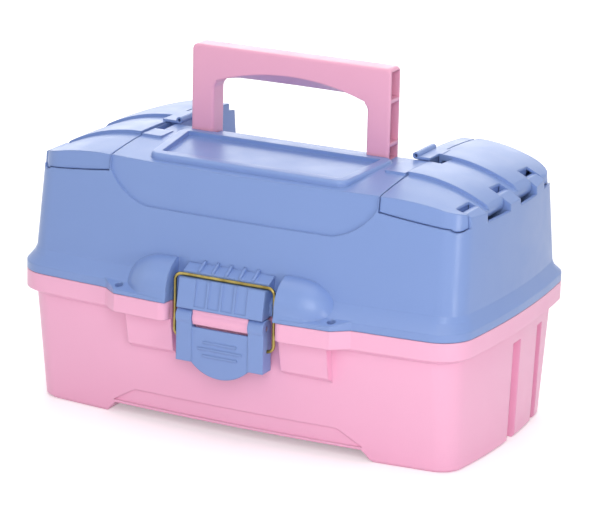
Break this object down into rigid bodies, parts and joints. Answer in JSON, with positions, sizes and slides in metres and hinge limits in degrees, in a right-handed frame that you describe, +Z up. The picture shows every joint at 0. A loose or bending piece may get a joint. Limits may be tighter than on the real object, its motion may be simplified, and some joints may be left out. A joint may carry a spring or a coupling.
{
  "type": "tackle box",
  "caption": "Moulded tackle box with a hinged lid, draw latch, fold-down handle, covered bins in the lid and trays that lift level as the lid opens.",
  "frame": {"origin": "on the surface the feet stand on, under the middle of the box", "axes": "+X to the right along the front, +Y to the back where the hinge is, +Z up"},
  "size_m": [0.3572, 0.2268, 0.26],
  "materials": {
    "pink_case": "satin moulded, pale pink",
    "pink_handle": "satin moulded, pink",
    "blue_lid": "satin moulded, periwinkle blue",
    "brass_wire": "drawn, lightly tarnished",
    "tray_plastic": "satin moulded, pale pink",
    "divider_plastic": "satin, milky white",
    "arm_plastic": "satin moulded, periwinkle blue",
    "steel_pin": "drawn, bright"
  },
  "bodies": {
    "base": {"base_shell": "pink_case", "left_hinge_pin": "steel_pin", "right_hinge_pin": "steel_pin", "latch_pivot_pin": "steel_pin", "base_arm_pins": "steel_pin"},
    "lid": {"lid_shell": "blue_lid", "left_cover_pins": "steel_pin", "right_cover_pins": "steel_pin", "handle_pins": "steel_pin", "hanger_pins": "steel_pin"},
    "left_cover": {"left_top_cover": "blue_lid"},
    "right_cover": {"right_top_cover": "blue_lid"},
    "handle": {"handle": "pink_handle"},
    "latch_lever": {"latch_lever": "blue_lid"},
    "latch_bail": {"latch_bail": "brass_wire"},
    "front_arms": {"left_front_arm": "arm_plastic", "right_front_arm": "arm_plastic"},
    "rear_arms": {"left_rear_arm": "arm_plastic", "right_rear_arm": "arm_plastic"},
    "lower_tray": {"lower_tray": "tray_plastic", "lower_tray_dividers": "divider_plastic", "lower_tray_pins": "steel_pin"},
    "upper_tray": {"upper_tray": "tray_plastic", "upper_tray_dividers": "divider_plastic", "upper_tray_pins": "steel_pin"}
  },
  "joints": [
    {"name": "lid_hinge", "type": "hinge", "parent": "base", "child": "lid", "pos_m": [0, 0.1075, 0.099], "axis": [-1, 0, 0], "range_deg": [0, 100]},
    {"name": "front_arm_swing", "type": "hinge", "parent": "base", "child": "front_arms", "pos_m": [0, 0.0498, 0.084], "axis": [-1, 0, 0], "range_deg": [0, 100]},
    {"name": "rear_arm_swing", "type": "hinge", "parent": "base", "child": "rear_arms", "pos_m": [0, 0.075, 0.068], "axis": [-1, 0, 0], "range_deg": [0, 100]},
    {"name": "lower_tray_level", "type": "hinge", "parent": "front_arms", "child": "lower_tray", "pos_m": [0, -0.00507, 0.08016], "axis": [1, 0, 0], "range_deg": [0, 100]},
    {"name": "upper_tray_level", "type": "hinge", "parent": "front_arms", "child": "upper_tray", "pos_m": [0, -0.04497, 0.07737], "axis": [1, 0, 0], "range_deg": [0, 100]},
    {"name": "handle_fold", "type": "hinge", "parent": "lid", "child": "handle", "pos_m": [0, -0.0062, 0.184], "axis": [-1, 0, 0], "range_deg": [0, 90]},
    {"name": "left_cover_hinge", "type": "hinge", "parent": "lid", "child": "left_cover", "pos_m": [-0.16, 0, 0.1775], "axis": [0, -1, 0], "range_deg": [0, 100]},
    {"name": "right_cover_hinge", "type": "hinge", "parent": "lid", "child": "right_cover", "pos_m": [0.16, 0, 0.1775], "axis": [0, 1, 0], "range_deg": [0, 100]},
    {"name": "latch_lever_swing", "type": "hinge", "parent": "base", "child": "latch_lever", "pos_m": [0, -0.1065, 0.091], "axis": [-1, 0, 0], "range_deg": [0, 95]},
    {"name": "latch_bail_swing", "type": "hinge", "parent": "latch_lever", "child": "latch_bail", "pos_m": [0, -0.1055, 0.0745], "axis": [1, 0, 0], "range_deg": [0, 118.75]}
  ],
  "couplings": [
    {"joint": "front_arm_swing", "follows": "lid_hinge", "ratio": 1},
    {"joint": "rear_arm_swing", "follows": "lid_hinge", "ratio": 1},
    {"joint": "lower_tray_level", "follows": "lid_hinge", "ratio": 1},
    {"joint": "upper_tray_level", "follows": "lid_hinge", "ratio": 1},
    {"joint": "latch_bail_swing", "follows": "latch_lever_swing", "ratio": 1.25}
  ]
}
